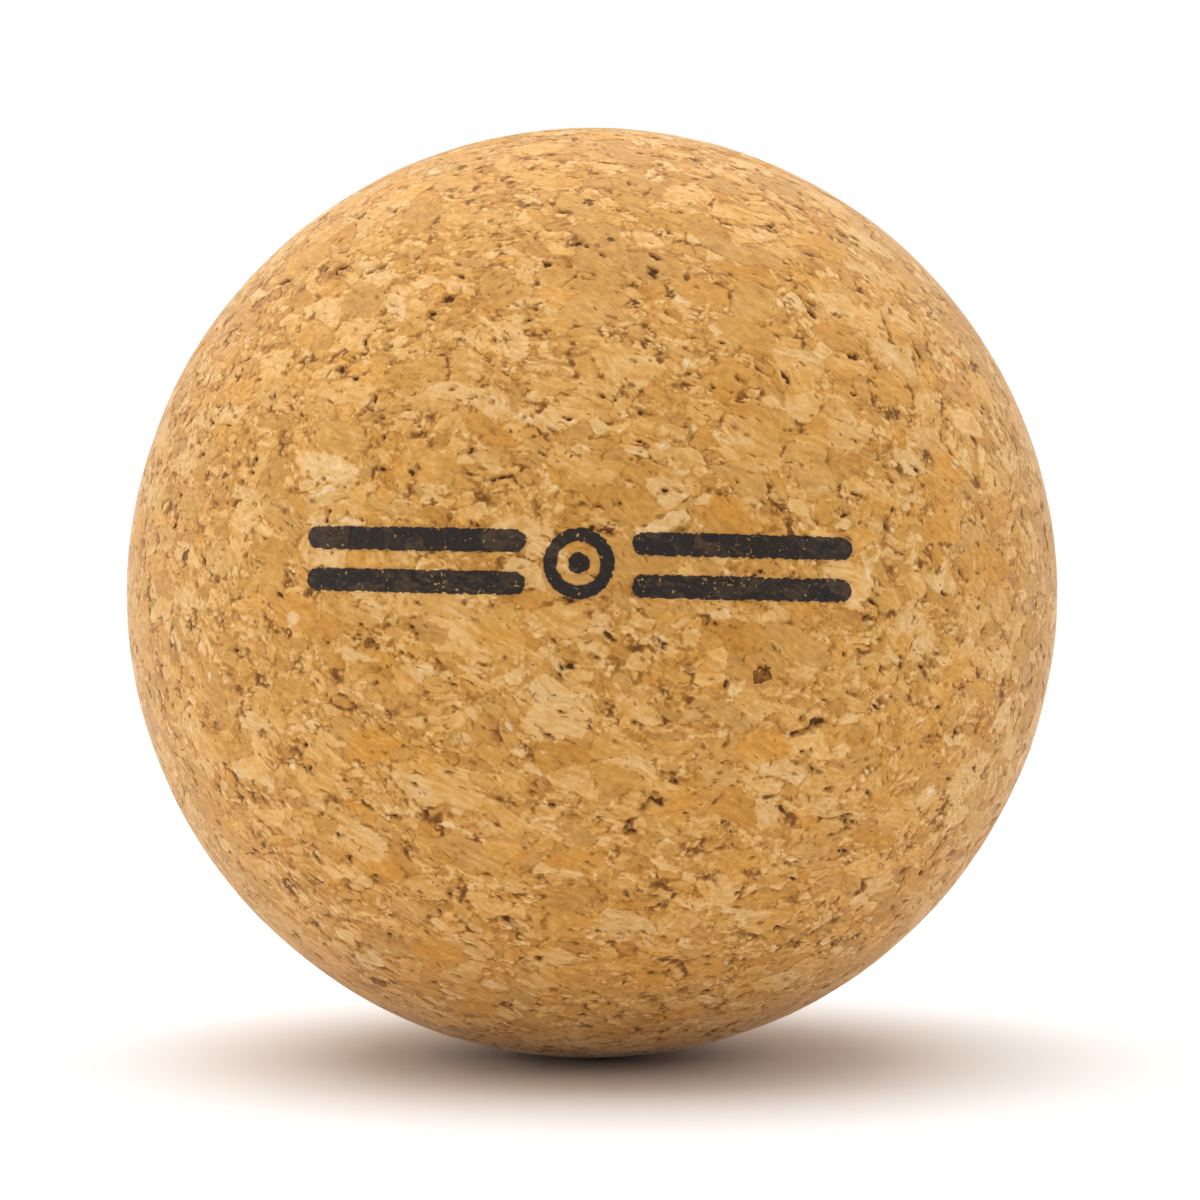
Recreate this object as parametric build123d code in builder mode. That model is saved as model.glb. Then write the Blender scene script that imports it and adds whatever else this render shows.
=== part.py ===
"""Cork massage ball: one ball turned from a block of agglomerated cork.

The block is cork granules, pressed and bonded with a little binder, so its pieces are the granules.
The fine granules and the binder are one solid, cork_body, with a pocket for each coarse granule that
the turning has cut through. Those coarse granules are solids of their own, one node for each shade of
cork, and so are the dark chips of bark. A plain mark of ring and bars is printed on the front.

Frame, in millimetres: the origin is the ball's centre, +Z is up, along the direction in which the
block was pressed, and the printed mark faces -Y. A direction from the centre is an azimuth, 0 at the
front and positive towards +X, and an elevation above the equator, both in degrees.
"""

from build123d import *

import os
from collections import namedtuple
from math import asin, cos, degrees, pi, radians, sin
from random import Random

# ---- the ball ----
BALL_DIAMETER = 65.0
BALL_RADIUS = BALL_DIAMETER / 2
# A sphere's surface closes on itself along a seam from pole to pole. No pocket crosses it.
SEAM_AT_BACK = (0, 0, 90)

# ---- coarse granules: length and width of the cut face, flattened by the press ----
LONGEST_GRANULE = 6.2
SHORTEST_GRANULE = 3.4
WIDTH_SHARE = (0.46, 0.78)  # width over length, from the flattest granule to the roundest
GRANULE_TRIES = 420  # places tried for a coarse granule, over the whole ball
GRANULE_CORNERS = (6, 8)
GRANULE_DEPTH_SHARE = 0.45  # depth over length
LEVEL_TILT = 34.0  # a pressed granule lies within this many degrees of level

# ---- chips of bark: small, dark and without a direction ----
LONGEST_CHIP = 2.3
SHORTEST_CHIP = 1.0
CHIP_TRIES = 70
CHIP_CORNERS = (5, 6)
CHIP_DEPTH = 0.9

# ---- both ----
CORNER_SWING = 0.24  # how far a corner strays round the outline, as a share of one side
CORNER_REACH = (0.80, 1.0)  # how far out a corner lies, as a share of the outline's ellipse
BINDER_GAP = 0.35  # least width of fine cork between two pockets
PROUD = 1.0  # how far a cutting prism stands out of the ball before it is trimmed
SEED = 20

# ---- the printed mark: a ring and a dot between two pairs of bars ----
MARK_CENTRE = (-0.8, 1.8)  # across and up from the middle of the front
MARK_TILT = -1.3
RING_DIAMETER = 4.4
RING_STROKE = 0.9
DOT_DIAMETER = 1.4
BAR_LENGTH = 13.8
BAR_HEIGHT = 1.5
BAR_SPACING = 2.6
MARK_WIDTH = 34.0
INK_THICKNESS = 0.05

Granule = namedtuple("Granule", "shade azimuth elevation length width tilt")

# Share of the scattered granules that has each shade. A shade's node is its name with _granules.
SHADES = {"pale": 0.30, "golden": 0.38, "amber": 0.20, "umber": 0.12}

# The large granules that show on the front.
FRONT_GRANULES = [
    Granule("pale", -4, -14, 5.4, 3.7, 6),
    Granule("golden", -10, -5, 4.2, 3.1, -12),
    Granule("pale", -32, 14, 6.2, 2.4, -12),
    Granule("golden", -19, 14, 5.4, 2.7, 6),
    Granule("pale", -43, 9, 4.2, 2.8, 20),
    Granule("umber", -50, -11, 5.6, 2.4, -70),
    Granule("pale", -10, 29, 4.4, 2.4, -62),
    Granule("golden", 4, 26, 5.8, 3.4, -16),
    Granule("umber", -22, 25, 5.0, 1.9, 4),
    Granule("umber", -3, -36, 5.0, 2.7, 10),
    Granule("pale", -7, -46, 4.2, 2.8, 4),
    Granule("umber", 6, -53, 4.4, 1.8, -3),
    Granule("pale", -31, -29, 5.4, 3.2, -8),
    Granule("amber", -26, -17, 4.8, 3.0, 14),
    Granule("amber", 20, -17, 4.8, 2.6, -4),
    Granule("umber", 33, -19, 3.8, 1.9, 12),
    Granule("golden", 42, -26, 5.8, 3.1, -20),
    Granule("amber", 10, -24, 4.8, 3.0, 0),
    Granule("pale", 36, 35, 4.2, 2.4, -8),
    Granule("pale", 27, 45, 4.6, 2.0, 8),
    Granule("pale", -16, 66, 4.6, 3.2, 0),
    Granule("amber", 40, 24, 4.8, 2.1, -32),
    Granule("pale", 53, 20, 4.0, 2.6, -10),
    Granule("golden", 19, 17, 4.6, 3.6, -40),
]


def outward(azimuth, elevation):
    """The unit vector from the ball's centre in this direction."""
    az, el = radians(azimuth), radians(elevation)
    return Vector(sin(az) * cos(el), -cos(az) * cos(el), sin(el))


def tangent_plane(granule, depth):
    """The plane at that depth under the granule's place on the ball, its x along the granule."""
    out = outward(granule.azimuth, granule.elevation)
    az, tilt = radians(granule.azimuth), radians(granule.tilt)
    level = Vector(cos(az), sin(az), 0)
    uphill = out.cross(level)
    along = level * cos(tilt) + uphill * sin(tilt)
    return Plane(origin=out * (BALL_RADIUS - depth), x_dir=along, z_dir=out)


def seam_distance(place):
    """How far this unit vector's place on the ball is from the seam up the middle of the back."""
    if place.Y > 0:
        return abs(place.X) * BALL_RADIUS
    nearest_pole = Vector(0, 0, 1 if place.Z > 0 else -1)
    return (place - nearest_pole).length * BALL_RADIUS


def has_room(new, placed):
    """True if the new granule's circle clears the seam, and every placed one's at its floor."""
    here = outward(new.azimuth, new.elevation)
    if seam_distance(here) < new.length / 2 + BINDER_GAP:
        return False
    for old in placed:
        floor_radius = BALL_RADIUS - GRANULE_DEPTH_SHARE * max(new.length, old.length)
        apart = (here - outward(old.azimuth, old.elevation)).length * floor_radius
        if apart < (new.length + old.length) / 2 + BINDER_GAP:
            return False
    return True


def scatter(tries, longest, shortest, tilt, shades, placed, rng):
    """Granules at random over the ball, the longest first, each only where it has room."""
    found = []
    for turn in range(tries):
        length = longest + (shortest - longest) * (turn / tries) ** 0.5
        new = Granule(
            shade=rng.choices(list(shades), weights=shades.values())[0],
            azimuth=rng.uniform(-180, 180),
            elevation=degrees(asin(rng.uniform(-1, 1))),
            length=length,
            width=length * rng.uniform(*WIDTH_SHARE),
            tilt=rng.uniform(-tilt, tilt),
        )
        if has_room(new, placed + found):
            found.append(new)
    return found


def outline_points(granule, corners, rng):
    """The corners of an irregular outline inside the granule's ellipse, on its own plane."""
    points = []
    for corner in range(corners):
        angle = 2 * pi * (corner + rng.uniform(-CORNER_SWING, CORNER_SWING)) / corners
        reach = rng.uniform(*CORNER_REACH)
        points.append((
            granule.length / 2 * reach * cos(angle),
            granule.width / 2 * reach * sin(angle),
        ))
    return points


def granule_prism(granule, corner_range, depth, rng):
    """The granule as a prism from its floor inside the ball to a little way outside it."""
    points = outline_points(granule, rng.randint(*corner_range), rng)
    with BuildPart() as prism:
        with BuildSketch(tangent_plane(granule, depth)):
            with BuildLine():
                Polyline(*points, close=True)
            make_face()
        extrude(amount=depth + PROUD)
    return prism.part


def write(part, name):
    part.label = name
    export_step(part, f"parts/{name}.step")


os.makedirs("parts", exist_ok=True)
rng = Random(SEED)

# ---- where the granules and the chips lie ----
coarse = FRONT_GRANULES + scatter(
    GRANULE_TRIES, LONGEST_GRANULE, SHORTEST_GRANULE, LEVEL_TILT, SHADES, FRONT_GRANULES, rng
)
chips = scatter(CHIP_TRIES, LONGEST_CHIP, SHORTEST_CHIP, 180, {"bark": 1}, coarse, rng)

prisms = {
    f"{shade}_granules": [
        granule_prism(granule, GRANULE_CORNERS, granule.length * GRANULE_DEPTH_SHARE, rng)
        for granule in coarse
        if granule.shade == shade
    ]
    for shade in SHADES
}
prisms["bark_chips"] = [granule_prism(chip, CHIP_CORNERS, CHIP_DEPTH, rng) for chip in chips]

# ---- the fine cork that binds the ball, with a pocket for each coarse granule and chip ----
with BuildPart() as cork_body:
    Sphere(BALL_RADIUS, rotation=SEAM_AT_BACK)
    for shapes in prisms.values():
        add(shapes, mode=Mode.SUBTRACT)
write(cork_body.part, "cork_body")

# ---- the granules and the chips, trimmed flush with the ball ----
for name, shapes in prisms.items():
    with BuildPart() as granules:
        Sphere(BALL_RADIUS, rotation=SEAM_AT_BACK)
        add(shapes, mode=Mode.INTERSECT)
    write(granules.part, name)

# ---- the printed mark: a film of ink on the front of the ball ----
with BuildPart() as ink_film:
    Sphere(BALL_RADIUS + INK_THICKNESS, rotation=SEAM_AT_BACK)
    Sphere(BALL_RADIUS, rotation=SEAM_AT_BACK, mode=Mode.SUBTRACT)

with BuildPart() as printed_mark:
    with BuildSketch(Plane.XZ.offset(BALL_RADIUS + PROUD)):
        with Locations(Location((*MARK_CENTRE, 0), (0, 0, MARK_TILT))):
            Circle(RING_DIAMETER / 2)
            Circle(RING_DIAMETER / 2 - RING_STROKE, mode=Mode.SUBTRACT)
            Circle(DOT_DIAMETER / 2)
            bar_reach = (MARK_WIDTH - BAR_LENGTH) / 2
            with GridLocations(2 * bar_reach, BAR_SPACING, 2, 2):
                SlotOverall(BAR_LENGTH, BAR_HEIGHT)
    extrude(amount=-(BALL_RADIUS + PROUD))
    add(ink_film.part, mode=Mode.INTERSECT)
write(printed_mark.part, "printed_mark")
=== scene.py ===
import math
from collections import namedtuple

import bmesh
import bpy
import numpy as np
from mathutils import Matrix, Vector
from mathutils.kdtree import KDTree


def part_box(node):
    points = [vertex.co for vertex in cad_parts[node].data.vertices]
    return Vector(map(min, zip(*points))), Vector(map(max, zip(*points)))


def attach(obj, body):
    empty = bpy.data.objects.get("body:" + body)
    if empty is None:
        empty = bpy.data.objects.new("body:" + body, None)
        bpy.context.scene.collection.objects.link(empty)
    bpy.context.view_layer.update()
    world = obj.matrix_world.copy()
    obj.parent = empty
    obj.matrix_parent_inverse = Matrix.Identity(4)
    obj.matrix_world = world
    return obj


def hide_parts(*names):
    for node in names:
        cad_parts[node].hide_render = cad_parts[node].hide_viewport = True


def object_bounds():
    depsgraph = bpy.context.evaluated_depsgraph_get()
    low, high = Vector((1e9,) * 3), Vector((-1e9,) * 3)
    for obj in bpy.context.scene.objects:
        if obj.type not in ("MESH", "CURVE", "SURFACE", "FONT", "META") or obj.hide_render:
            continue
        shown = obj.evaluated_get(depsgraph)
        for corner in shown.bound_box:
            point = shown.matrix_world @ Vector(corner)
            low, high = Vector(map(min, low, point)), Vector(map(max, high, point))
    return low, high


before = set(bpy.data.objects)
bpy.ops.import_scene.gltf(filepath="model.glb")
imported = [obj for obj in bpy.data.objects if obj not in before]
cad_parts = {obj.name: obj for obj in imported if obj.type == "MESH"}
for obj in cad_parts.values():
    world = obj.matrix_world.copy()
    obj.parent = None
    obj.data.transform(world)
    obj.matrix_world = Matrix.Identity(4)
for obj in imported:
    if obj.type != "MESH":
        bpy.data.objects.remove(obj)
cad_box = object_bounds()

# The looks of a cork massage ball: pressed cork granules with dark bark and a worn printed mark.
#
# cork_ball is one closed mesh that stands for the bonded cork, its coarse granules and its bark
# chips. Each of its points first learns how far inside a coarse granule and a chip it lies, from the
# outlines of the CAD nodes (store_granules). Geometry Nodes then work out the pattern of the cork
# there (cork_pattern), write it on the points and move them by its height, so that the pits and the
# crevices are real and lie where they are dark (raise_relief). The materials read the pattern back and
# add only the finest grain (cork_surface). ink_mark is the printed film, draped over the same relief.
#
# Lengths are in metres in Blender's own fields. They are in millimetres in names that end in _MM, in
# the attributes and in the node trees.

MM = 0.001
SEED = 5

# ---- the CAD nodes ----
BODY_NODE = "cork_body"
MARK_NODE = "printed_mark"
CHIP_NODE = "bark_chips"
# Each shade of coarse granule: how light it is and how orange, both -1 to 1.
GRANULE_NODES = {
    "pale_granules": (0.75, -0.05),
    "golden_granules": (0.25, 0.15),
    "amber_granules": (-0.25, 0.75),
    "umber_granules": (-0.85, -0.25),
}

# ---- reading the granules' outlines ----
WELD_MM = 0.002
ON_BALL_MM = 0.03  # a point of a cut face is no further than this under the ball's surface
SIDE_DEPTH_MM = 0.1  # a point of a granule's side or floor is deeper than this
MARGIN_MM = 1.2  # how far outside a granule the distance to its outline is still worked out
FAR_MM = -3.0  # the distance stored where no granule is near

# ---- the meshes ----
BALL_DIVISIONS = 9
MARK_EDGE_MM = 0.16  # longest edge left in the mark's mesh
MARK_CUTS = 9  # most times that its long edges are halved
INK_FILM_MM = 0.05  # thickness of the CAD's film
INK_ABOVE_MM = 0.045
INK_BELOW_MM = 0.02

# ---- the pattern: the features of each noise to the millimetre ----
CLOUD_SCALE = 0.11  # where the ball is lighter and darker as a whole
CROWD_SCALE = 0.16  # where specks crowd
STAIN_SCALE = 0.30  # brown patches
SWAY_SCALE = 0.22
CURL_SCALE = 1.2
GRIT_SCALE = 2.3
GAP_SCALE = 0.85  # where the borders between granules opened into crevices
SPECK_SCALE = 0.95
SMALL_SPECK_SCALE = 1.6
# cream flecks: pale crumbs of cork, and in part painted glints of the binder
CRUMB_AND_GLINT_SCALE = 0.6
GRAIN_SCALE = 4.0
PATCH_SCALE = 1.4  # where the ink is thin
MISSED_SCALE = 3.0  # where it missed the cork
FRAY_SCALE = 2.6
ELSEWHERE = (31.0, 7.0, 2.0)  # mm to a part of a noise that the ball itself does not reach
FURTHER_OFF = (5.0, 50.0, 9.0)

# ---- the pattern: how high a noise is where each kind of spot begins, and where it is full ----
CROWD_RANGE = (0.38, 0.68)
STAIN_RANGE = (0.50, 0.68)
GAP_RANGE = (0.50, 0.70)
HALO_RANGE = (0.605, 0.675)
PIT_RANGE = (0.67, 0.705)
SMALL_SPECK_RANGE = (0.650, 0.700)
# where the cream flecks begin and where they are full; they are in part a painted highlight
CRUMB_AND_GLINT_RANGE = (0.70, 0.75)
MISSED_RANGE = (0.63, 0.70)

# ---- the pattern: how the granules lie ----
SLANT = -0.50  # how far the fibres dip towards the right, in radians
GRANULE_SLANT = 0.6 * SLANT
PRESSED = (0.9, 1.0, 1.75)  # the squeeze along each axis that flattens the granules
DRAWN_OUT = (0.70, 1.2, 1.4)  # the squeeze that draws specks out along the slant
STREAKED = (0.7, 1.6, 2.4)  # a further squeeze that draws specks out into streaks
FIBRES = (0.5, 2.2, 2.2)  # the squeeze along and across the fibres of a small granule
COARSE_FIBRES = (0.5, 2.8, 1.0)  # the same for a coarse granule, whose third axis is its own number
TURN_GAIN = 9.0  # radians that a random draw of 1 turns the fibres by
SWAY_MM = 3.0  # how far the pressing bent the granules, over a few mm and within one
CURL_MM = 0.35
RAGGED_MM = 0.13  # how far the grit moves the outlines of small granules, coarse ones and chips
COARSE_RAGGED_MM = 0.9
CHIP_RAGGED_MM = 1.3
JITTER_MM = 0.12  # how far the finest grain moves all outlines
CROWD_GAIN = 0.03

# Three sizes of small granule, the larger lying over the smaller. hidden is the share of its cells that
# is left out, and the gains are how much its cells differ in lightness, in orange, and in how far a
# point seems to be inside its own cell.
GranuleSize = namedtuple("GranuleSize", "scale hidden light_gain orange_gain border_gain")
GRANULE_SIZES = (
    GranuleSize(scale=1.9, hidden=-1.0, light_gain=1.9, orange_gain=0.4, border_gain=1.45),
    GranuleSize(scale=0.80, hidden=0.38, light_gain=1.6, orange_gain=0.7, border_gain=1.05),
    GranuleSize(scale=0.36, hidden=0.58, light_gain=1.3, orange_gain=0.9, border_gain=1.0),
)

# How much each part of the pattern adds to the cork's lightness and orange, on the points and then in
# the material, and how far it rises. The ball is sanded, so only the dark parts are deep.
LIGHT_GAINS = {"cloud": 0.5, "stain": -0.25, "mottle": 1.5, "fibre": 1.6}
FINE_LIGHT_GAINS = {"grain": 1.0, "streak": 2.6, "outline": -0.45}
ORANGE_GAINS = {"stain": 0.35, "mottle": 0.3}
RISES_MM = {
    "cloud": 0.20, "light": 0.010, "mottle": 0.025,
    "crevice": -0.12, "halo": -0.03, "pit": -0.18, "chip": -0.04,
}

# How dark each kind of dark part can get, 0 to 1.
DARKNESS = {"crevice": 1.0, "halo": 0.42, "pit": 1.0, "chip": 1.0, "small_speck": 0.48}

# What is stored on the points, three numbers to an attribute.
STORED = {
    "look": ("light", "orange", "fibre"),
    "edges": ("border", "gap", "height"),
    # the cream flecks stored here are in part a painted highlight, standing for the binder's glints
    "specks": ("speck", "crumb_and_glint", "chip_depth"),
}

# ---- the colours, and the lightness and the orange at which each has fully taken over ----
PALE = (0.90, 0.69, 0.40, 1)
MIDDLE = (0.640, 0.358, 0.100, 1)
DEEP = (0.30, 0.120, 0.014, 1)
ORANGE_TINT = (1.00, 0.82, 0.46, 1)
OLIVE_TINT = (0.99, 1.02, 1.16, 1)
# the cream of the flecks: pale cork, and in part a painted highlight for the binder's glints
CREAM_AND_GLINT = (0.88, 0.70, 0.43, 1)
BROWN = (0.26, 0.103, 0.015, 1)
BARK = (0.095, 0.034, 0.008, 1)
LIGHTEST = 2.0
DARKEST = -2.2
MOST_ORANGE = 0.75
INK = (0.017, 0.011, 0.008, 1)
THIN_INK = (0.075, 0.042, 0.02, 1)
FLOOR_COLOUR = (0.93, 0.93, 0.93, 1)

# ---- the camera: the shifts, shares of the picture, put the ball's centre a little up and left ----
LENS_MM = 100.0
SENSOR_MM = 36.0
CAMERA_DISTANCE = 0.2352
SHIFT_X = 0.00667
SHIFT_Y = -0.00583
CLIP_START = 0.01

# ---- the studio ----
WALL_GLOW = 0.24  # how brightly the white room lights the ball from its walls and its ceiling
CEILING_GLOW = 0.83
FLOOR_RADIUS = 0.45
FLOOR_SIDES = 96
Softbox = namedtuple("Softbox", "name place size power")
SOFTBOXES = (
    Softbox("top", place=(-0.05, 0.0, 0.55), size=(0.8, 0.8), power=3.90),
    Softbox("left", place=(-0.60, 0.05, 0.12), size=(0.5, 0.6), power=1.10),
    Softbox("right", place=(0.60, 0.05, 0.12), size=(0.5, 0.6), power=0.70),
)


# ================================================================ reading the granules


class Outline:
    """The cut face of one granule: its corners in its own tangent plane, in millimetres."""

    def __init__(self, corners):
        centre = corners.mean(axis=0)
        self.out = centre / np.linalg.norm(centre)
        level = np.cross((0.0, 0.0, 1.0), self.out)
        level /= np.linalg.norm(level)
        uphill = np.cross(self.out, level)
        flat = np.column_stack((corners @ level, corners @ uphill))
        along = np.linalg.eigh(np.cov(flat.T))[1][:, 1]
        self.along = along[0] * level + along[1] * uphill
        self.across = np.cross(self.out, self.along)
        self.corners = self.places(corners)
        order = np.argsort(np.arctan2(self.corners[:, 1], self.corners[:, 0]))
        self.corners = self.corners[order]
        self.reach = np.linalg.norm(self.corners, axis=1).max()

    def places(self, points):
        """Where points near the granule lie along it and across it."""
        return np.column_stack((points @ self.along, points @ self.across))

    def near(self, out, radius):
        """The numbers of those directions in out that pass within the margin of the granule."""
        return np.flatnonzero(out @ self.out > math.cos((self.reach + MARGIN_MM) / radius))

    def depth_inside(self, flat):
        """How far inside the outline each place is, less than 0 outside."""
        nearest = np.full(len(flat), np.inf)
        inside = np.zeros(len(flat), bool)
        for start, end in zip(self.corners, np.roll(self.corners, -1, axis=0)):
            side = end - start
            share = np.clip((flat - start) @ side / (side @ side), 0, 1)
            gap = np.linalg.norm(flat - start - share[:, None] * side, axis=1)
            nearest = np.minimum(nearest, gap)
            crosses = (start[1] > flat[:, 1]) != (end[1] > flat[:, 1])
            rise = np.where(side[1] == 0, 1e-12, side[1])
            where = start[0] + (flat[:, 1] - start[1]) * side[0] / rise
            inside ^= crosses & (flat[:, 0] < where)
        return np.where(inside, nearest, -nearest)


def on_rim(vert, radius):
    """True for a point of the cut face that is also a point of the granule's side."""
    if vert.co.length < radius - ON_BALL_MM:
        return False
    return any(v.co.length < radius - SIDE_DEPTH_MM for face in vert.link_faces for v in face.verts)


def solid_of(first, seen):
    """Every point joined to the first by edges, and the first itself. They are added to seen."""
    solid = []
    waiting = [first]
    seen.add(first)
    while waiting:
        vert = waiting.pop()
        solid.append(vert)
        for edge in vert.link_edges:
            other = edge.other_vert(vert)
            if other not in seen:
                seen.add(other)
                waiting.append(other)
    return solid


def outlines(node, radius):
    """The outlines of a node's solids."""
    work = bmesh.new()
    work.from_mesh(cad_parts[node].data)
    bmesh.ops.scale(work, vec=(1 / MM, 1 / MM, 1 / MM), verts=work.verts)
    bmesh.ops.remove_doubles(work, verts=work.verts, dist=WELD_MM)
    found = []
    seen = set()
    for vert in work.verts:
        if vert not in seen:
            rim = [v.co for v in solid_of(vert, seen) if on_rim(v, radius)]
            found.append(Outline(np.array(rim)))
    work.free()
    return found


def write_attribute(mesh, name, values):
    kind = "FLOAT" if values.ndim == 1 else "FLOAT_VECTOR"
    field = "value" if values.ndim == 1 else "vector"
    layer = mesh.attributes.new(name, kind, "POINT")
    layer.data.foreach_set(field, np.ascontiguousarray(values, np.float32).ravel())


def store_granules(mesh, radius):
    """Writes on each point where it is, and how far inside its granule and its chip of bark it lies.

    granule_shade is the granule's lightness and orange, and granule_grain is the point's place along it
    and across it, with a number of the granule's own.
    """
    places = np.empty(len(mesh.vertices) * 3)
    mesh.vertices.foreach_get("co", places)
    out = places.reshape(-1, 3)
    out = out / np.linalg.norm(out, axis=1)[:, None]
    points = out * radius
    rng = np.random.default_rng(SEED)

    edge = np.full(len(points), FAR_MM)
    shade = np.zeros((len(points), 3))
    grain = np.zeros((len(points), 3))
    for node, (light, orange) in GRANULE_NODES.items():
        for granule in outlines(node, radius):
            near = granule.near(out, radius)
            flat = granule.places(points[near])
            depth = granule.depth_inside(flat)
            wins = depth > edge[near]
            mine = near[wins]
            edge[mine] = depth[wins]
            shade[mine] = (rng.normal(0.7 * light, 0.15), rng.normal(0.6 * orange, 0.12), 0.0)
            grain[mine, :2] = flat[wins]
            grain[mine, 2] = 10.0 * rng.uniform(1, 50)

    chip_edge = np.full(len(points), FAR_MM)
    for chip in outlines(CHIP_NODE, radius):
        near = chip.near(out, radius)
        depth = chip.depth_inside(chip.places(points[near]))
        chip_edge[near] = np.maximum(chip_edge[near], depth)

    write_attribute(mesh, "rest", points)
    write_attribute(mesh, "granule_edge", edge)
    write_attribute(mesh, "granule_shade", shade)
    write_attribute(mesh, "granule_grain", grain)
    write_attribute(mesh, "chip_edge", chip_edge)


# ================================================================ node trees


class Tree:
    """Adds nodes to a shader or geometry tree. A value is a number, a tuple or a socket."""

    def __init__(self, tree):
        self.tree = tree
        self.in_geometry = tree.bl_idname == "GeometryNodeTree"

    def node(self, kind, **settings):
        new = self.tree.nodes.new(kind)
        for name, value in settings.items():
            setattr(new, name, value)
        return new

    def put(self, socket, value):
        if isinstance(value, bpy.types.NodeSocket):
            self.tree.links.new(value, socket)
        else:
            socket.default_value = value

    def attribute(self, name, vector=False):
        if self.in_geometry:
            kind = "FLOAT_VECTOR" if vector else "FLOAT"
            new = self.node("GeometryNodeInputNamedAttribute", data_type=kind)
            new.inputs["Name"].default_value = name
            return next(s for s in new.outputs if s.enabled and s.name == "Attribute")
        new = self.node("ShaderNodeAttribute", attribute_name=name)
        return new.outputs["Vector" if vector else "Fac"]

    def store(self, geometry, name, value):
        """geometry with the vector written on its points under a name."""
        new = self.node("GeometryNodeStoreNamedAttribute", domain="POINT", data_type="FLOAT_VECTOR")
        self.put(new.inputs["Geometry"], geometry)
        new.inputs["Name"].default_value = name
        self.put(next(s for s in new.inputs if s.name == "Value" and s.enabled), value)
        return new.outputs[0]

    def math(self, operation, *values):
        new = self.node("ShaderNodeMath", operation=operation)
        for socket, value in zip(new.inputs, values):
            self.put(socket, value)
        return new.outputs[0]

    def plus(self, base, value, gain):
        """base + value * gain, all numbers."""
        return self.math("MULTIPLY_ADD", value, gain, base)

    def total(self, base, gains, parts):
        """base + each part that gains names, times its gain."""
        for name, gain in gains.items():
            base = self.plus(base, parts[name], gain)
        return base

    def centred(self, value, gain):
        """A draw from 0 to 1 made into one round 0, half the gain either way."""
        return self.math("MULTIPLY", self.math("SUBTRACT", value, 0.5), gain)

    def vector(self, operation, *values, scale=None):
        new = self.node("ShaderNodeVectorMath", operation=operation)
        for socket, value in zip(new.inputs, values):
            self.put(socket, value)
        if scale is not None:
            self.put(new.inputs["Scale"], scale)
        return new.outputs["Vector"]

    def moved(self, place, way, gain):
        """place + way * gain, where place and way are vectors."""
        return self.vector("ADD", place, self.vector("SCALE", way, scale=gain))

    def split(self, vector):
        new = self.node("ShaderNodeSeparateXYZ")
        self.put(new.inputs[0], vector)
        return new.outputs

    def join(self, x, y, z):
        new = self.node("ShaderNodeCombineXYZ")
        for socket, value in zip(new.inputs, (x, y, z)):
            self.put(socket, value)
        return new.outputs[0]

    def ramp(self, value, low, high, to_low=0.0, to_high=1.0, smooth=True):
        """value taken from low..high to to_low..to_high and held there beyond."""
        kind = "SMOOTHSTEP" if smooth else "LINEAR"
        new = self.node("ShaderNodeMapRange", interpolation_type=kind)
        for socket, number in zip(new.inputs, (value, low, high, to_low, to_high)):
            self.put(socket, number)
        return new.outputs[0]

    def noise(self, place, scale, detail=2.0, rough=0.5, colour=False):
        new = self.node("ShaderNodeTexNoise")
        for name, value in (("Vector", place), ("Scale", scale), ("Detail", detail), ("Roughness", rough)):
            self.put(new.inputs[name], value)
        return new.outputs["Color" if colour else 0]

    def drift(self, place, scale, detail=2.0, rough=0.5):
        """A vector that wanders round 0, up to about a half each way."""
        return self.vector("SUBTRACT", self.noise(place, scale, detail, rough, colour=True), (0.5, 0.5, 0.5))

    def cells(self, place, scale, feature="F1"):
        new = self.node("ShaderNodeTexVoronoi", feature=feature)
        self.put(new.inputs["Vector"], place)
        self.put(new.inputs["Scale"], scale)
        return new.outputs

    def mix(self, share, low, high, kind="FLOAT", blend="MIX"):
        new = self.node("ShaderNodeMix", data_type=kind, clamp_factor=True)
        if kind == "RGBA":
            new.blend_type = blend
        inputs = [s for s in new.inputs if s.enabled]
        for socket, value in zip(inputs, (share, low, high)):
            self.put(socket, value)
        return next(s for s in new.outputs if s.enabled)

    def spin(self, place, angles):
        """place turned by three angles."""
        new = self.node("ShaderNodeVectorRotate", rotation_type="EULER_XYZ")
        self.put(new.inputs["Vector"], place)
        self.put(new.inputs["Rotation"], angles)
        return new.outputs[0]


# ================================================================ the cork


def bent_place(tree, rest):
    """rest as it was before the pressing bent the granules."""
    sway = tree.drift(rest, SWAY_SCALE, 1.5)
    curl = tree.drift(rest, CURL_SCALE, 1.0)
    return tree.moved(tree.moved(rest, sway, SWAY_MM), curl, CURL_MM)


def slanted_place(tree, bent):
    """bent turned and squeezed so that a noise of it is drawn out along the granules' slant."""
    return tree.vector("MULTIPLY", tree.spin(bent, (0.0, SLANT, 0.0)), DRAWN_OUT)


def small_granules(tree, pressed):
    """Lightness, orange, a random turn and the distance to the border, for the small granules."""
    light, orange, turn, border = 0.0, 0.0, (0.0, 0.0, 0.0), 0.0
    for size in GRANULE_SIZES:
        cell = tree.cells(pressed, size.scale)
        draw = tree.split(cell["Color"])
        to_border = tree.cells(pressed, size.scale, "DISTANCE_TO_EDGE")[0]
        inside = tree.math("MULTIPLY", to_border, size.border_gain / size.scale)
        shown = tree.ramp(draw[2], size.hidden, size.hidden + 0.04)
        light = tree.mix(shown, light, tree.centred(draw[0], size.light_gain))
        orange = tree.mix(shown, orange, tree.centred(draw[1], size.orange_gain))
        turn = tree.mix(shown, turn, cell["Color"], "VECTOR")
        border = tree.mix(shown, border, inside)
    return light, orange, turn, border


def fibres(tree, place, turn):
    """Fibres in a small granule: noise drawn out along one direction, which turn picks, 0 to 1."""
    turned = tree.spin(place, tree.vector("SCALE", turn, scale=TURN_GAIN))
    return tree.noise(tree.vector("MULTIPLY", turned, FIBRES), 1.0, 2.0, 0.6)


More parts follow.
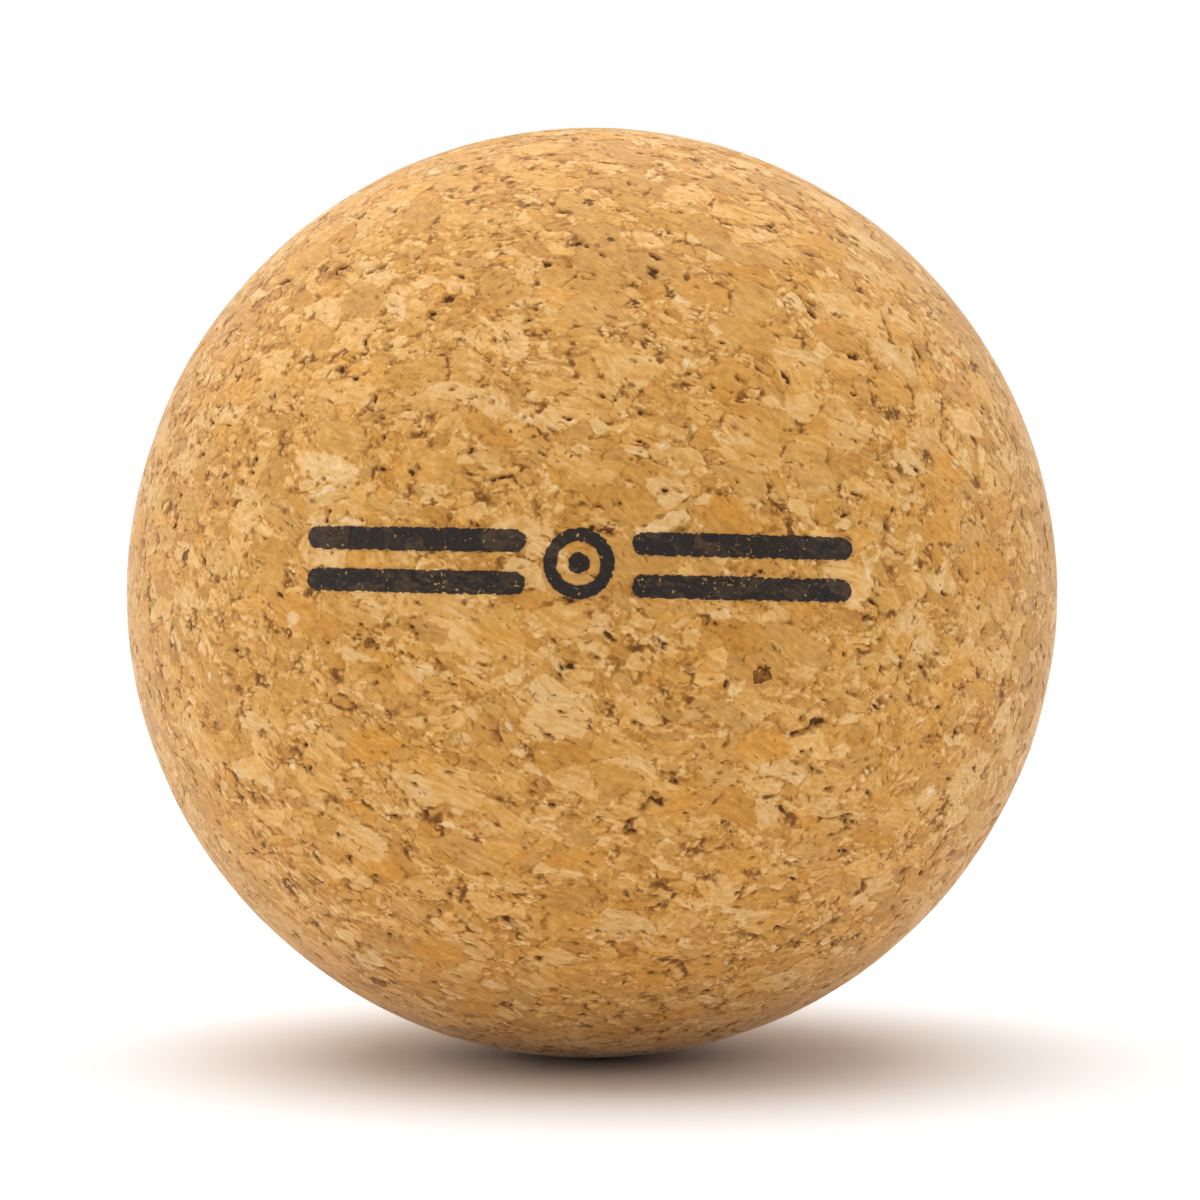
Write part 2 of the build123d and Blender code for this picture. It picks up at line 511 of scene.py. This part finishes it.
def dark_parts(tree, border, gap, speck, chip_depth, jitter):
    """How much of a crevice, a halo, a pit and a chip of bark each point is, all 0 to 1.

    Crevices are parts of the borders between granules, widest and darkest in the middle of each part.
    A speck is a brown halo round a dark pit. The jitter, in mm, roughens all their outlines.
    """
    near = tree.math("ADD", border, jitter)
    crevice = tree.ramp(near, 0.03, tree.plus(0.05, gap, 0.22), 1.0, 0.0)
    crevice = tree.math("MULTIPLY", crevice, tree.plus(0.14, gap, 0.70))
    speck = tree.plus(speck, jitter, 0.35)
    halo = tree.ramp(speck, *HALO_RANGE)
    pit = tree.ramp(speck, *PIT_RANGE)
    chip = tree.ramp(tree.plus(chip_depth, jitter, 3.0), 0.0, 0.08)
    return crevice, halo, pit, chip


def cork_pattern(tree):
    """What the points store of the cork, a dict of sockets; border, chip_depth and height are in mm."""
    rest = tree.attribute("rest", vector=True)
    elsewhere = tree.vector("ADD", rest, ELSEWHERE)
    bent = bent_place(tree, rest)
    cloud = tree.centred(tree.noise(rest, CLOUD_SCALE, 2.0), 1.0)
    crowd = tree.ramp(tree.noise(rest, CROWD_SCALE, 2.0), *CROWD_RANGE)
    stain = tree.ramp(tree.noise(elsewhere, STAIN_SCALE, 3.0, 0.6), *STAIN_RANGE)

    # Grit: mottling that runs across everything and makes the granules' borders ragged.
    grit = tree.drift(bent, GRIT_SCALE, 2.0, 0.66)
    mottle = tree.split(grit)[0]
    ragged_place = tree.moved(bent, grit, RAGGED_MM)
    pressed = tree.vector("MULTIPLY", tree.spin(ragged_place, (0.0, GRANULE_SLANT, 0.0)), PRESSED)
    light, orange, turn, border = small_granules(tree, pressed)
    fibre = fibres(tree, bent, turn)

    # The coarse granules lie over the small ones.
    shade = tree.split(tree.attribute("granule_shade", vector=True))
    grain = tree.attribute("granule_grain", vector=True)
    inside = tree.plus(tree.attribute("granule_edge"), mottle, COARSE_RAGGED_MM)
    in_granule = tree.ramp(inside, -0.03, 0.06)
    coarse_fibre = tree.noise(tree.vector("MULTIPLY", grain, COARSE_FIBRES), 1.0, 1.5, 0.6)
    light = tree.mix(in_granule, light, shade[0])
    orange = tree.mix(in_granule, orange, shade[1])
    fibre = tree.mix(in_granule, fibre, coarse_fibre)
    border = tree.mix(in_granule, border, tree.math("ABSOLUTE", inside))

    # Clouds, stains, mottling and fibres change the colour of them all.
    parts = {"cloud": cloud, "stain": stain, "mottle": mottle, "fibre": tree.centred(fibre, 1.0)}
    light = tree.total(light, LIGHT_GAINS, parts)
    orange = tree.total(orange, ORANGE_GAINS, parts)

    gap = tree.ramp(tree.noise(elsewhere, GAP_SCALE, 2.5, 0.6), *GAP_RANGE)
    speck = tree.noise(slanted_place(tree, bent), SPECK_SCALE, 3.0, 0.6)
    speck = tree.plus(speck, crowd, CROWD_GAIN)
    # Cream flecks: pale crumbs of cork, and in part a painted highlight that stands for glints of the
    # binder.
    crumb_and_glint = tree.noise(tree.vector("ADD", bent, FURTHER_OFF), CRUMB_AND_GLINT_SCALE, 2.0)
    chip_depth = tree.plus(tree.attribute("chip_edge"), mottle, CHIP_RAGGED_MM)
    crevice, halo, pit, chip = dark_parts(tree, border, gap, speck, chip_depth, 0.0)
    parts.update(light=light, crevice=crevice, halo=halo, pit=pit, chip=chip)
    height = tree.total(0.0, RISES_MM, parts)
    return {
        "bent": bent, "light": light, "orange": orange, "fibre": fibre, "border": border, "gap": gap,
        "height": height, "speck": speck, "crumb_and_glint": crumb_and_glint, "chip_depth": chip_depth,
    }


def raise_relief(piece):
    """Writes the pattern on the piece's points, moves them by its height, and keeps the result."""
    group = bpy.data.node_groups.new("cork_relief", "GeometryNodeTree")
    group.interface.new_socket("Geometry", in_out="INPUT", socket_type="NodeSocketGeometry")
    group.interface.new_socket("Geometry", in_out="OUTPUT", socket_type="NodeSocketGeometry")
    tree = Tree(group)
    source = tree.node("NodeGroupInput")
    result = tree.node("NodeGroupOutput")
    cork = cork_pattern(tree)
    geometry = source.outputs[0]
    for name, kinds in STORED.items():
        geometry = tree.store(geometry, name, tree.join(*(cork[kind] for kind in kinds)))
    geometry = tree.store(geometry, "bent", cork["bent"])
    out = tree.vector("NORMALIZE", tree.attribute("rest", vector=True))
    height = tree.split(tree.attribute("edges", vector=True))[2]
    move = tree.node("GeometryNodeSetPosition")
    tree.put(move.inputs["Geometry"], geometry)
    tree.put(move.inputs["Offset"], tree.vector("SCALE", out, scale=tree.math("MULTIPLY", height, MM)))
    tree.put(result.inputs[0], move.outputs[0])
    modifier = piece.modifiers.new("relief", "NODES")
    modifier.node_group = group
    bpy.context.view_layer.update()
    shaped = bpy.data.meshes.new_from_object(piece.evaluated_get(bpy.context.evaluated_depsgraph_get()))
    piece.modifiers.remove(modifier)
    old = piece.data
    piece.data = shaped
    bpy.data.meshes.remove(old)
    bpy.data.node_groups.remove(group)
    shaped.name = piece.name


# ================================================================ the materials


def cork_surface(tree):
    """What the materials read from the points, with the finest grain added: a dict of sockets."""
    known = {}
    for name, kinds in STORED.items():
        known.update(zip(kinds, tree.split(tree.attribute(name, vector=True))))
    rest = tree.attribute("rest", vector=True)
    slanted = slanted_place(tree, tree.attribute("bent", vector=True))
    grain = tree.centred(tree.noise(rest, GRAIN_SCALE, 2.0, 0.6), 1.0)
    streak = tree.noise(tree.vector("MULTIPLY", slanted, STREAKED), 1.0, 2.5, 0.6)
    streak = tree.centred(streak, 1.0)
    jitter = tree.math("MULTIPLY", grain, JITTER_MM)

    outline = tree.ramp(tree.math("ADD", known["border"], jitter), 0.03, 0.13, 1.0, 0.0)
    parts = {"grain": grain, "streak": streak, "outline": outline}
    light = tree.total(known["light"], FINE_LIGHT_GAINS, parts)

    # Cream flecks, fainter in places: crumbs of pale cork, and in part a painted highlight that stands for
    # the binder's glints. Chips of bark, mottled brown and black.
    crumb_and_glint = tree.ramp(tree.plus(known["crumb_and_glint"], jitter, 0.9), *CRUMB_AND_GLINT_RANGE)
    crumb_and_glint = tree.math("MULTIPLY", crumb_and_glint, tree.plus(0.45, streak, 0.9))
    crevice, halo, pit, chip = dark_parts(
        tree, known["border"], known["gap"], known["speck"], known["chip_depth"], jitter
    )
    chip = tree.math("MULTIPLY", chip, tree.plus(tree.plus(0.76, streak, 1.1), grain, 0.9))
    small_speck = tree.ramp(tree.noise(slanted, SMALL_SPECK_SCALE, 2.0), *SMALL_SPECK_RANGE)
    parts = {"crevice": crevice, "halo": halo, "pit": pit, "chip": chip, "small_speck": small_speck}
    dark = 0.0
    for name, darkness in DARKNESS.items():
        dark = tree.math("MAXIMUM", dark, tree.math("MULTIPLY", parts[name], darkness))

    colour = tree.mix(tree.ramp(light, 0.0, LIGHTEST, smooth=False), MIDDLE, PALE, "RGBA")
    colour = tree.mix(tree.ramp(light, 0.0, DARKEST, smooth=False), colour, DEEP, "RGBA")
    tint = tree.ramp(known["orange"], -MOST_ORANGE, MOST_ORANGE, smooth=False)
    tint = tree.mix(tint, OLIVE_TINT, ORANGE_TINT, "RGBA")
    colour = tree.mix(1.0, colour, tint, "RGBA", "MULTIPLY")
    # The cream flecks are painted in, in part as a painted highlight.
    colour = tree.mix(crumb_and_glint, colour, CREAM_AND_GLINT, "RGBA")
    colour = tree.mix(tree.ramp(dark, 0.0, 0.65, smooth=False), colour, BROWN, "RGBA")
    colour = tree.mix(tree.ramp(dark, 0.55, 1.0, 0.0, 0.92), colour, BARK, "RGBA")
    return {
        "rest": rest,
        "light": light,
        "colour": colour,
        "rough": tree.ramp(known["fibre"], 0.3, 0.7, 0.60, 0.78),
        "texture": tree.math("MULTIPLY", grain, 0.06),
    }


def new_material(name):
    """A material, its node tree and its Principled shader."""
    material = bpy.data.materials.new(name)
    material.use_nodes = True
    return material, Tree(material.node_tree), material.node_tree.nodes["Principled BSDF"]


def add_bump(tree, shader, height, strength):
    """Gives the shader a bump of this height, in mm."""
    bump = tree.node("ShaderNodeBump")
    bump.inputs["Strength"].default_value = strength
    bump.inputs["Distance"].default_value = MM
    tree.put(bump.inputs["Height"], height)
    tree.put(shader.inputs["Normal"], bump.outputs[0])


def cork_material():
    material, tree, shader = new_material("cork")
    cork = cork_surface(tree)
    tree.put(shader.inputs["Base Color"], cork["colour"])
    tree.put(shader.inputs["Roughness"], cork["rough"])
    shader.inputs["Specular IOR Level"].default_value = 0.18
    shader.inputs["Sheen Weight"].default_value = 0.26
    shader.inputs["Sheen Roughness"].default_value = 0.35
    add_bump(tree, shader, cork["texture"], 0.8)
    return material


def ink_material():
    """Black ink that has sunk into the cork, missed its pits and frayed along its rim."""
    material, tree, shader = new_material("ink")
    cork = cork_surface(tree)
    patchy = tree.noise(cork["rest"], PATCH_SCALE, 3.0)
    thin = tree.plus(cork["light"], patchy, 1.6)
    ink = tree.mix(tree.ramp(thin, 0.3, 2.4), INK, THIN_INK, "RGBA")
    missed = tree.ramp(tree.noise(cork["rest"], MISSED_SCALE, 3.0, 0.65), *MISSED_RANGE, 0.0, 0.75)
    fray = tree.centred(tree.noise(cork["rest"], FRAY_SCALE, 3.0, 0.7), 0.5)
    rim = tree.ramp(tree.math("ADD", tree.attribute("ink_edge"), fray), 0.0, 0.06, 1.0, 0.0)
    missed = tree.math("MAXIMUM", missed, rim)
    tree.put(shader.inputs["Base Color"], tree.mix(missed, ink, cork["colour"], "RGBA"))
    tree.put(shader.inputs["Roughness"], cork["rough"])
    shader.inputs["Specular IOR Level"].default_value = 0.3
    add_bump(tree, shader, cork["texture"], 0.5)
    return material


# ================================================================ the pieces


def add_piece(name, mesh, material, radius):
    """An object of the mesh, smooth, of this material and raised by the cork's relief."""
    mesh.name = name
    mesh.polygons.foreach_set("use_smooth", np.ones(len(mesh.polygons), bool))
    mesh.materials.clear()
    mesh.materials.append(material)
    mesh.update()
    store_granules(mesh, radius)
    piece = bpy.data.objects.new(name, mesh)
    bpy.context.scene.collection.objects.link(piece)
    raise_relief(piece)
    return piece


def make_ball(radius, material):
    mesh = bpy.data.meshes.new("cork_ball")
    work = bmesh.new()
    bmesh.ops.create_icosphere(work, subdivisions=BALL_DIVISIONS, radius=radius * MM)
    work.to_mesh(mesh)
    work.free()
    ball = add_piece("cork_ball", mesh, material, radius)
    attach(ball, "root")
    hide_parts(BODY_NODE, *GRANULE_NODES, CHIP_NODE)


def on_film_edge(vert, middle):
    """True for a point of the film's top or underside that an edge joins to the other of the two."""
    above = [v.co.length > middle for edge in vert.link_edges for v in edge.verts]
    return any(above) and not all(above)


def distances_to(rim, verts, radius):
    """How far each point is from the nearest point of the rim, both taken to the ball's surface."""
    tree = KDTree(len(rim))
    for number, vert in enumerate(rim):
        tree.insert(vert.co.normalized() * radius, number)
    tree.balance()
    return np.array([tree.find(vert.co.normalized() * radius)[2] for vert in verts])


def make_mark(radius, material):
    """The CAD's ink film, cut fine and draped over the relief."""
    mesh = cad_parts[MARK_NODE].data.copy()
    work = bmesh.new()
    work.from_mesh(mesh)
    bmesh.ops.remove_doubles(work, verts=work.verts, dist=WELD_MM * MM)
    for _ in range(MARK_CUTS):
        long_edges = [e for e in work.edges if e.calc_length() > MARK_EDGE_MM * MM]
        if not long_edges:
            break
        bmesh.ops.subdivide_edges(work, edges=long_edges, cuts=1, use_grid_fill=False)
        bmesh.ops.triangulate(work, faces=work.faces)
    middle = (radius + INK_FILM_MM / 2) * MM
    rim = [vert for vert in work.verts if on_film_edge(vert, middle)]
    ink_edge = distances_to(rim, work.verts, radius)
    for vert in work.verts:
        lift = INK_ABOVE_MM if vert.co.length > middle else -INK_BELOW_MM
        vert.co = vert.co.normalized() * (radius + lift) * MM
    work.to_mesh(mesh)
    work.free()
    write_attribute(mesh, "ink_edge", ink_edge)
    mark = add_piece("ink_mark", mesh, material, radius)
    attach(mark, "root")
    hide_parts(MARK_NODE)


# ================================================================ the studio


def make_floor(height):
    """A round pale table, small enough to be lit white to its edge, so that no horizon shows."""
    mesh = bpy.data.meshes.new("floor")
    turns = [2 * math.pi * side / FLOOR_SIDES for side in range(FLOOR_SIDES)]
    corners = [(FLOOR_RADIUS * math.cos(t), FLOOR_RADIUS * math.sin(t), height) for t in turns]
    mesh.from_pydata(corners, [], [range(FLOOR_SIDES)])
    material, _, shader = new_material("floor")
    shader.inputs["Base Color"].default_value = FLOOR_COLOUR
    shader.inputs["Roughness"].default_value = 0.9
    shader.inputs["Specular IOR Level"].default_value = 0.1
    mesh.materials.append(material)
    floor = bpy.data.objects.new("floor", mesh)
    bpy.context.scene.collection.objects.link(floor)


def make_softbox(box):
    """A soft rectangular light, turned to face the ball's centre."""
    light = bpy.data.lights.new(box.name, "AREA")
    light.shape = "RECTANGLE"
    light.size, light.size_y = box.size
    light.energy = box.power
    lamp = bpy.data.objects.new(box.name, light)
    bpy.context.scene.collection.objects.link(lamp)
    lamp.location = box.place
    lamp.rotation_euler = (-Vector(box.place)).to_track_quat("-Z", "Y").to_euler()


def make_world():
    """A white room, lit mostly from above, and plain white wherever the camera sees past the ball."""
    world = bpy.data.worlds.new("studio")
    bpy.context.scene.world = world
    world.use_nodes = True
    tree = Tree(world.node_tree)
    back = world.node_tree.nodes["Background"]
    back.inputs["Color"].default_value = (1, 1, 1, 1)
    way = tree.node("ShaderNodeTexCoord").outputs["Generated"]
    glow = tree.ramp(tree.split(way)[2], 0.0, 0.9, WALL_GLOW, CEILING_GLOW)
    seen = tree.node("ShaderNodeLightPath").outputs["Is Camera Ray"]
    tree.put(back.inputs["Strength"], tree.mix(seen, glow, 1.0))


def make_camera():
    camera = bpy.data.cameras.new("camera")
    camera.lens = LENS_MM
    camera.sensor_width = SENSOR_MM
    camera.shift_x = SHIFT_X
    camera.shift_y = SHIFT_Y
    camera.clip_start = CLIP_START
    holder = bpy.data.objects.new("camera", camera)
    bpy.context.scene.collection.objects.link(holder)
    holder.location = (0, -CAMERA_DISTANCE, 0)
    holder.rotation_euler = (math.pi / 2, 0, 0)
    bpy.context.scene.camera = holder


# ================================================================ the scene

low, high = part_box(BODY_NODE)
ball_radius_mm = (high.x - low.x) / 2 / MM

make_ball(ball_radius_mm, cork_material())
make_mark(ball_radius_mm, ink_material())

make_floor(cad_box[0][2])
make_world()
for box in SOFTBOXES:
    make_softbox(box)
make_camera()
bpy.context.scene.view_settings.view_transform = "Standard"
